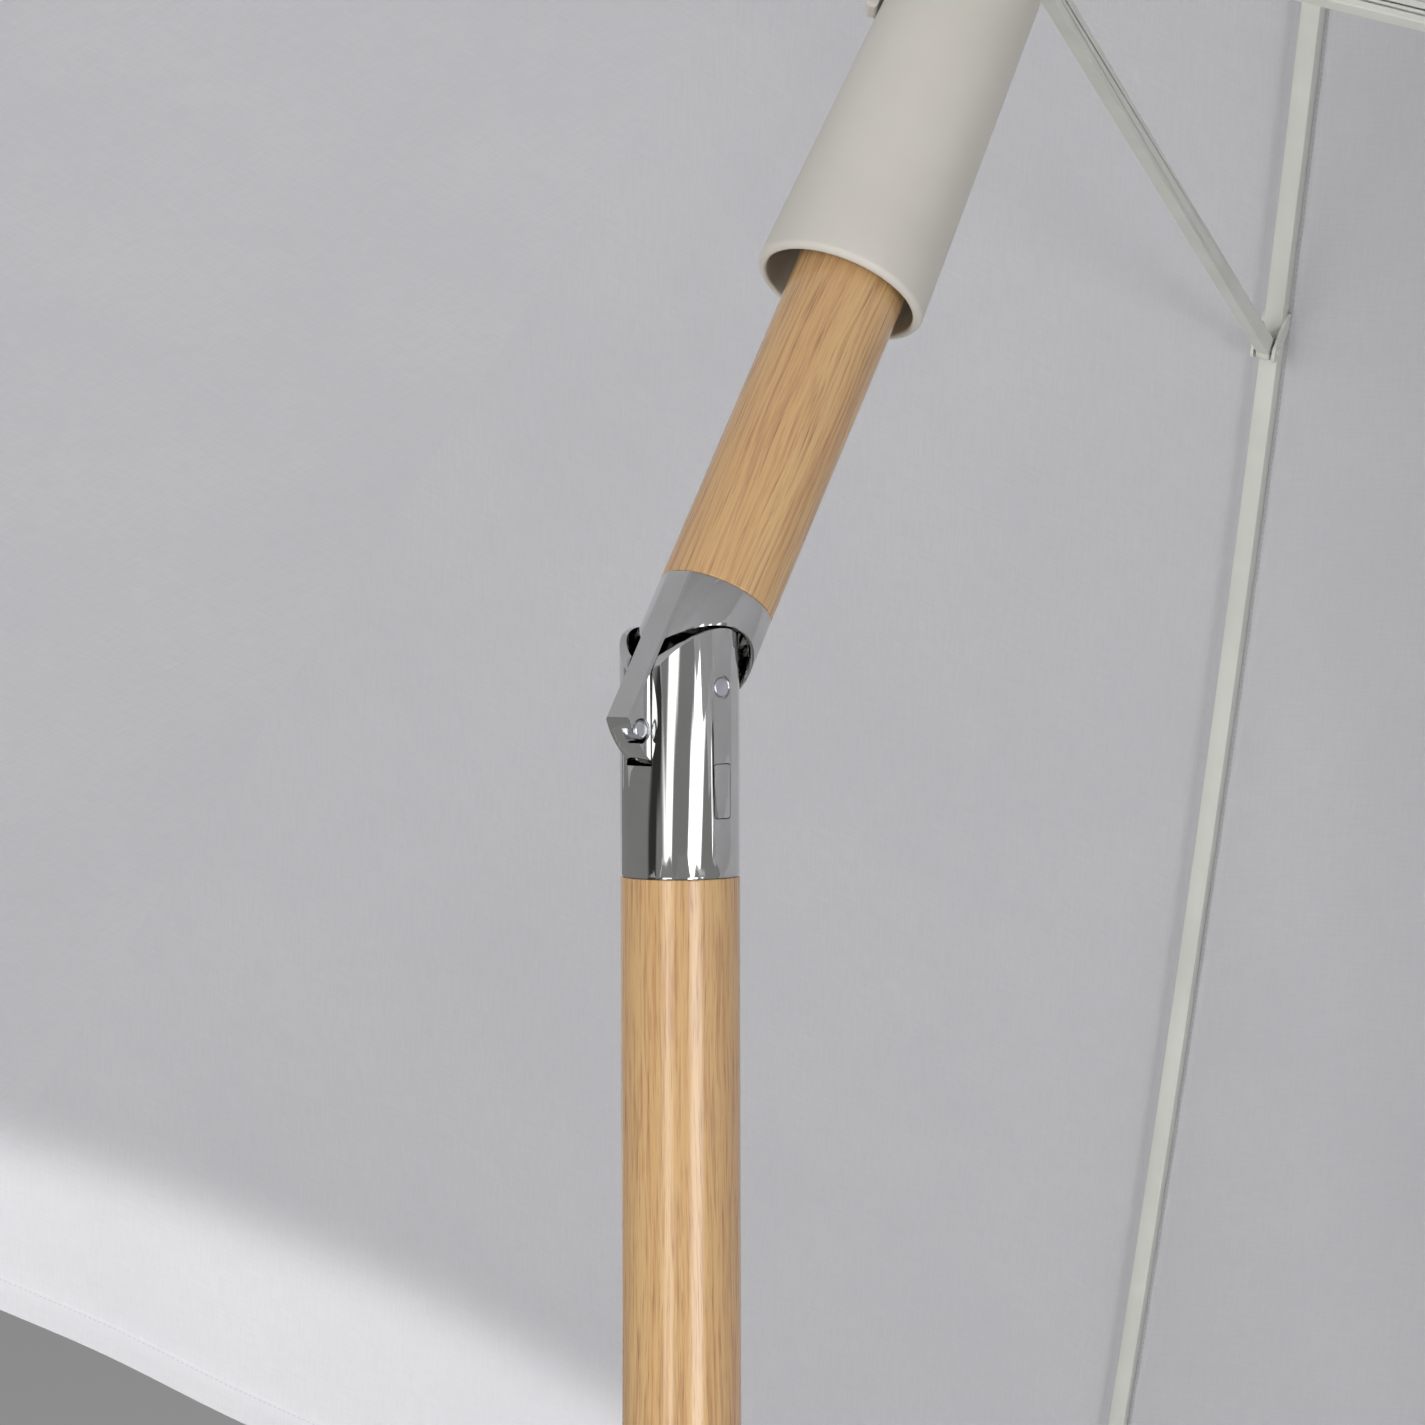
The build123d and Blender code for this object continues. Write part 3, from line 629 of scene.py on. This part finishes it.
def canopy_cloth():
    """A fine over-and-under relief, faint slubs both ways, slow clouding, and lines of stitches: one
    along each side of a seam and one along the hem, broken into dashes by a sine along the line."""
    material, shader, wires = finish("canopy_cloth", rgb(198, 198, 202), 0.85, specular=0.25, sheen=0.25)
    metres = wires.node("ShaderNodeUVMap", uv_map="metres").outputs[0]
    weave = group_node(wires, weave_group, {"Vector": metres, "Thread": 0.0007})
    mottle = group_node(wires, mottle_group, {"Vector": metres, "Patch Size": 0.11,
                                              "Speckle Size": 0.0018})
    slub = wires.ramp(weave["Slub"], 0.36, 0.64)
    colour = wires.mix(slub, rgb(196, 196, 200), rgb(201, 201, 205))
    colour = wires.mix(wires.math("MULTIPLY", mottle["Patch"], 0.3), colour, rgb(191, 191, 196))
    split = wires.node("ShaderNodeSeparateXYZ", {0: metres})
    aside = wires.math("ABSOLUTE", split.outputs["X"])
    off_seam = wires.math("ABSOLUTE", wires.math("SUBTRACT", aside, SEAM_HALF - SEAM_STITCH_IN))
    hem_line = CANOPY_OUTER - HEM_WIDTH + HEM_STITCH_IN
    off_hem = wires.math("ABSOLUTE", wires.math("SUBTRACT", split.outputs["Y"], hem_line))

    def dashes(off_line, along_line):
        wave = wires.math("SINE", wires.math("MULTIPLY", along_line, 2 * math.pi / STITCH_LENGTH))
        return wires.math("MULTIPLY", wires.ramp(off_line, STITCH_HALF, 0.0), wires.ramp(wave, -0.5, 0.1))

    seam_stitch = dashes(off_seam, split.outputs["Y"])
    hem_stitch = dashes(off_hem, split.outputs["X"])
    stitch = wires.math("MAXIMUM", seam_stitch, hem_stitch)
    colour = wires.mix(wires.math("MULTIPLY", stitch, 0.55), colour, rgb(146, 148, 156))
    wires.put(shader.inputs["Base Color"], colour)
    threads = wires.math("MULTIPLY_ADD", weave["Slub"], 0.9, weave["Height"])
    height = wires.math("MULTIPLY_ADD", stitch, -3.0, threads)
    wires.put(shader.inputs["Normal"], wires.bump(height, 0.25, 0.00015))
    wires.put(shader.inputs["Roughness"], wires.math("MULTIPLY_ADD", mottle["Speckle"], 0.12, 0.78))
    return material


cloth = canopy_cloth()

# %% Gores
CLOTH_HALF = 0.00030        # half the cloth's thickness
SEAM_INSIDE = 0.0007        # the seam's folds stand mostly on the underside
SEAM_OUTSIDE = 0.0003
HEM_FOLD = 0.0005
STEP_WIDTH = 0.001
ROWS, COLUMNS = 150, 66


def step_up(distance):
    """Rises smoothly from 0 to 1 while the distance falls through zero over the step's width."""
    t = np.clip(0.5 - distance / STEP_WIDTH, 0, 1)
    return t * t * (3 - 2 * t)


def gore_columns(distance, side):
    """Shares of the panel, counted from the rib, for one half: a few close columns resolve the seam's
    step and the rest are spread evenly up to the panel's middle."""
    close = np.array([0, 0.004, SEAM_HALF - 0.0005, SEAM_HALF, SEAM_HALF + 0.0005, 0.013])
    even = np.linspace(0, 1, COLUMNS - len(close) + 1)[1:]
    aside = np.concatenate([np.broadcast_to(close, (len(distance), len(close))),
                            close[-1] + (distance / 2 - close[-1]) * even], axis=1)
    return aside if side > 0 else -aside[:, :0:-1]


def shell(name, outer, inner, uv, material):
    """Closes two matching grids into one solid sheet: the outer grid, the inner grid turned over and
    a rim between their borders."""
    rows, columns = outer.shape[:2]
    index = np.arange(rows * columns).reshape(rows, columns)
    quads = np.stack([index[:-1, :-1], index[1:, :-1], index[1:, 1:], index[:-1, 1:]], axis=2)
    quads = quads.reshape(-1, 4)
    border = np.concatenate([index[:-1, 0], index[-1, :-1], index[:0:-1, -1], index[0, :0:-1]])
    after = np.roll(border, -1)
    inside = rows * columns
    rim = np.stack([border, border + inside, after + inside, after], axis=1)
    first_normal = np.cross(outer[1, 0] - outer[0, 0], outer[0, 1] - outer[0, 0])
    if first_normal @ (outer[0, 0] - inner[0, 0]) < 0:
        quads, rim = quads[:, ::-1], rim[:, ::-1]
    faces = np.concatenate([quads, quads[:, ::-1] + inside, rim])
    mesh = bpy.data.meshes.new(name)
    mesh.from_pydata(np.concatenate([outer.reshape(-1, 3), inner.reshape(-1, 3)]), [], faces)
    layer = mesh.uv_layers.new(name="metres")
    layer.data.foreach_set("uv", uv.reshape(-1, 2)[faces.reshape(-1) % inside].reshape(-1))
    mesh.polygons.foreach_set("use_smooth", np.ones(len(faces), bool))
    mesh.materials.append(material)
    piece = bpy.data.objects.new(name, mesh)
    scene.collection.objects.link(piece)
    mark_sharp(piece, math.radians(60))
    return piece


def gore(number):
    """The cloth of one rib: the second half of the panel before it and the first half of the panel
    after it, as one grid whose middle column lies on the rib."""
    span = CANOPY_OUTER - CANOPY_INNER
    even = CANOPY_INNER + (span - HEM_WIDTH - STEP_WIDTH) * np.linspace(0, 1, ROWS)
    hem_rows = CANOPY_OUTER - np.array([HEM_WIDTH, HEM_WIDTH - STEP_WIDTH / 2, 0.010, 0.001, 0])
    distance = np.concatenate([even, hem_rows])[:, None]
    left, right = gore_columns(distance, -1), gore_columns(distance, 1)
    before = panel_point(distance, 1 + left / distance, (number - 2) % RIBS + 1)
    after = panel_point(distance, right / distance, number)
    points = np.concatenate([before, after], axis=1)
    aside = np.concatenate([left, right], axis=1)
    normal = np.cross(np.gradient(points, axis=1), np.gradient(points, axis=0))
    normal *= np.sign(normal[..., 2:]) / np.linalg.norm(normal, axis=2, keepdims=True)
    seam = step_up(np.abs(aside) - SEAM_HALF)
    hem = step_up(CANOPY_OUTER - HEM_WIDTH - distance)      # 1 on the turned-up hem
    outside = CLOTH_HALF + SEAM_OUTSIDE * seam + HEM_FOLD * hem * (1 - seam)
    inside = CLOTH_HALF + SEAM_INSIDE * seam + HEM_FOLD * hem * (1 - seam)
    uv = np.stack(np.broadcast_arrays(aside, distance), axis=2)
    piece = shell(f"canopy_{number}", on_mast(points + normal * outside[..., None]),
                  on_mast(points - normal * inside[..., None]), uv, cloth)
    step = np.cross(points[1:, :-1] - points[:-1, :-1], points[:-1, 1:] - points[:-1, :-1])
    return piece, float(np.linalg.norm(step, axis=2).sum())


for number in range(1, RIBS + 1):
    piece, area = gore(number)
    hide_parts(f"canopy_gore_{number}")
    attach(piece, f"rib_{number}")
    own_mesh(piece)
print("six gores of", round(area, 3), "square metres,", len(piece.data.polygons), "faces each")

# %% [markdown]
# ## Studio
# A plain pale floor, an even pale world and a few big soft lights. Polished metal shows its whole
# surroundings, so a round grey wall stands about the joint, with two bright windows that make the
# joint's white bands and a dark curtain. The wall is seen only in reflections.

# %% Floor and world
world = bpy.data.worlds.new("world")
scene.world = world
world.use_nodes = True
WORLD_COLOUR, WORLD_STRENGTH = (0.86, 0.87, 0.90, 1), 0.42
background = world.node_tree.nodes["Background"]
background.inputs["Color"].default_value = WORLD_COLOUR
background.inputs["Strength"].default_value = WORLD_STRENGTH

floor_finish = finish("floor_paint", rgb(205, 204, 201), 0.7)[0]
FLOOR_HALF = 9.0


def level_square(half, height):
    """A level square about the origin, as a grid of three by three points."""
    edge = np.linspace(-half, half, 3)
    return np.stack([*np.meshgrid(edge, edge, indexing="ij"), np.full((3, 3), height)], axis=2)


floor = grid_mesh("floor", level_square(FLOOR_HALF, 0.0), material=floor_finish)
floor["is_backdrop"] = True


# %% Surroundings for reflections
def glow(name, colour):
    """A material that only shines."""
    material = bpy.data.materials.new(name)
    material.use_nodes = True
    tree = material.node_tree
    tree.nodes.clear()
    shine = tree.nodes.new("ShaderNodeEmission")
    shine.inputs["Color"].default_value = colour
    shine.inputs["Strength"].default_value = 1.0
    out = tree.nodes.new("ShaderNodeOutputMaterial")
    tree.links.new(shine.outputs[0], out.inputs[0])
    return material


# A plain grey wall with two bright windows and one dark curtain: the middle and the half width of each,
# in degrees to the camera's right as seen from the pin, and how brightly it shines
WALL_GREY = 0.25
STRETCHES = ((-55, 8, 0.04), (-23, 6, 2.5), (30, 9, 4.0))
SOFT_EDGE = 5               # degrees over which a stretch fades into the grey
WALL_DISTANCE = 2.6
WALL_BOTTOM, WALL_TOP = -1.6, 1.5       # counted from the pin
WALL_STEPS = 181
GROUND_HEIGHT = 0.02
GROUND_COLOUR = (0.28, 0.28, 0.28, 1)


def wall_stops():
    """Angles and brightnesses once round the wall: grey, with a soft-edged stretch for each entry."""
    stops = [(-180, WALL_GREY)]
    for middle, half, brightness in STRETCHES:
        stops += [(middle - half - SOFT_EDGE, WALL_GREY), (middle - half, brightness),
                  (middle + half, brightness), (middle + half + SOFT_EDGE, WALL_GREY)]
    return stops + [(180, WALL_GREY)]


def surroundings():
    """A round wall about the pin that shines by its stops: U runs once round."""
    angle = np.radians(np.linspace(-180, 180, WALL_STEPS))[:, None]
    flat = np.cos(angle) * -level_sight + np.sin(angle) * to_right
    foot = pin + WALL_DISTANCE * flat
    grid = np.stack([foot + [0, 0, WALL_BOTTOM], foot + [0, 0, WALL_TOP]], axis=1)
    uv = np.stack(np.meshgrid(np.linspace(0, 1, WALL_STEPS), (0, 1), indexing="ij"), axis=2)
    material = glow("surroundings", (1, 1, 1, 1))
    wires = Wires(material.node_tree)
    turn_map = wires.node("ShaderNodeUVMap", uv_map="metres").outputs[0]
    split = wires.node("ShaderNodeSeparateXYZ", {0: turn_map})
    ramp = wires.node("ShaderNodeValToRGB", {0: split.outputs["X"]})
    stops = ramp.color_ramp.elements
    stops[0].position, stops[1].position = 0.0, 1.0
    for degrees, _ in wall_stops()[1:-1]:
        stops.new((degrees + 180) / 360)
    for stop, (_, brightness) in zip(stops, wall_stops()):
        stop.color = (brightness, brightness, brightness, 1)
    wires.put(material.node_tree.nodes["Emission"].inputs["Color"], ramp.outputs[0])
    only_reflected(grid_mesh("surroundings", grid, uv=uv, material=material))


def only_reflected(made):
    """Keeps a stage piece out of everything but reflections."""
    made.visible_camera = False
    made.visible_diffuse = False
    made.visible_shadow = False
    made.visible_transmission = False
    made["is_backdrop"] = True


surroundings()
only_reflected(grid_mesh("ground_glow", level_square(WALL_DISTANCE, GROUND_HEIGHT),
                         material=glow("ground_glow", GROUND_COLOUR)))
print("stage ready")


# %% Lights
def soft_light(name, place, target, width, height, power):
    """An area light at a place, turned towards a target and left out of reflections."""
    data = bpy.data.lights.new(name, "AREA")
    data.shape = "RECTANGLE"
    data.size = width
    data.size_y = height
    data.energy = power
    lamp = bpy.data.objects.new(name, data)
    scene.collection.objects.link(lamp)
    lamp.location = Vector(place)
    lamp.rotation_euler = (Vector(target) - Vector(place)).to_track_quat("-Z", "Y").to_euler()
    lamp.visible_glossy = False


def from_pin(right, towards_camera, up):
    """A place counted from the pin: to the camera's right, towards the camera and up, in metres."""
    return tuple(pin + right * to_right - towards_camera * level_sight + [0, 0, up])


WINDOW_SIZE = (1.0, 2.0)
LEFT_POWER, RIGHT_POWER = 53, 40
SKY_SIZE, SKY_POWER = 5.0, 120
soft_light("left_window", from_pin(-1.5, 2.6, 0.1), tuple(pin), *WINDOW_SIZE, LEFT_POWER)
soft_light("right_window", from_pin(1.7, 2.4, 0.0), tuple(pin), *WINDOW_SIZE, RIGHT_POWER)
soft_light("sky", (-1.0, -1.0, 6.0), (0, 0, 1.5), SKY_SIZE, SKY_SIZE, SKY_POWER)

# %% [markdown]
# ## Sun under the rim
# Low sun reaches the outermost cloth under the raised rim and leaves a bright band along the hem. A
# spot light does this: its cone's edge lies along a line across the first panel, so the axis is that
# line's direction turned by the cone's half angle towards the hem.

# %% Sun under the rim
LIT_FROM = 1.385            # the bright band starts this far out
LIT_SHARES = (0.23, 0.40)   # two places across the first panel that lie on the band's edge
CONE_HALF = math.radians(26)
SUN_ASIDE, SUN_BELOW = 0.55, 0.35       # from the camera: to its left and down
SUN_POWER, SUN_COLOUR = 163, (1.0, 0.985, 0.96)
SUN_SOFTNESS, SUN_RADIUS = 0.07, 0.02


def on_first_panel(distance, share):
    """A point of the first panel's cloth, in its real place."""
    return on_mast(panel_point(np.array(distance), np.array(share), 1))


sun_place = camera_place - SUN_ASIDE * to_right - [0, 0, SUN_BELOW]
edge_left, edge_right = (on_first_panel(LIT_FROM, share) for share in LIT_SHARES)
beyond = on_first_panel(CANOPY_OUTER, sum(LIT_SHARES) / 2)
to_edge = (edge_left + edge_right) / 2 - sun_place
to_edge = to_edge / np.linalg.norm(to_edge)
across = np.cross(to_edge, edge_right - edge_left)
across = across / np.linalg.norm(across)
across = across * np.sign(across @ (beyond - edge_left))
sun_data = bpy.data.lights.new("low_sun", "SPOT")
sun_data.spot_size = 2 * CONE_HALF
sun_data.spot_blend = SUN_SOFTNESS
sun_data.shadow_soft_size = SUN_RADIUS
sun_data.energy = SUN_POWER
sun_data.color = SUN_COLOUR
sun = bpy.data.objects.new("low_sun", sun_data)
scene.collection.objects.link(sun)
sun.location = Vector(sun_place)
axis = math.cos(CONE_HALF) * to_edge + math.sin(CONE_HALF) * across
sun.rotation_euler = Vector(axis).to_track_quat("-Z", "Y").to_euler()
sun.visible_glossy = False
print("low sun at", sun_place.round(2), "towards", axis.round(2))

# %% Sizes and finish
visual_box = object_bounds()
boxes = {"cad": [list(corner) for corner in cad_box], "visual": [list(corner) for corner in visual_box]}
for key, corners in boxes.items():
    print(key, "box:", [[round(v, 3) for v in corner] for corner in corners])
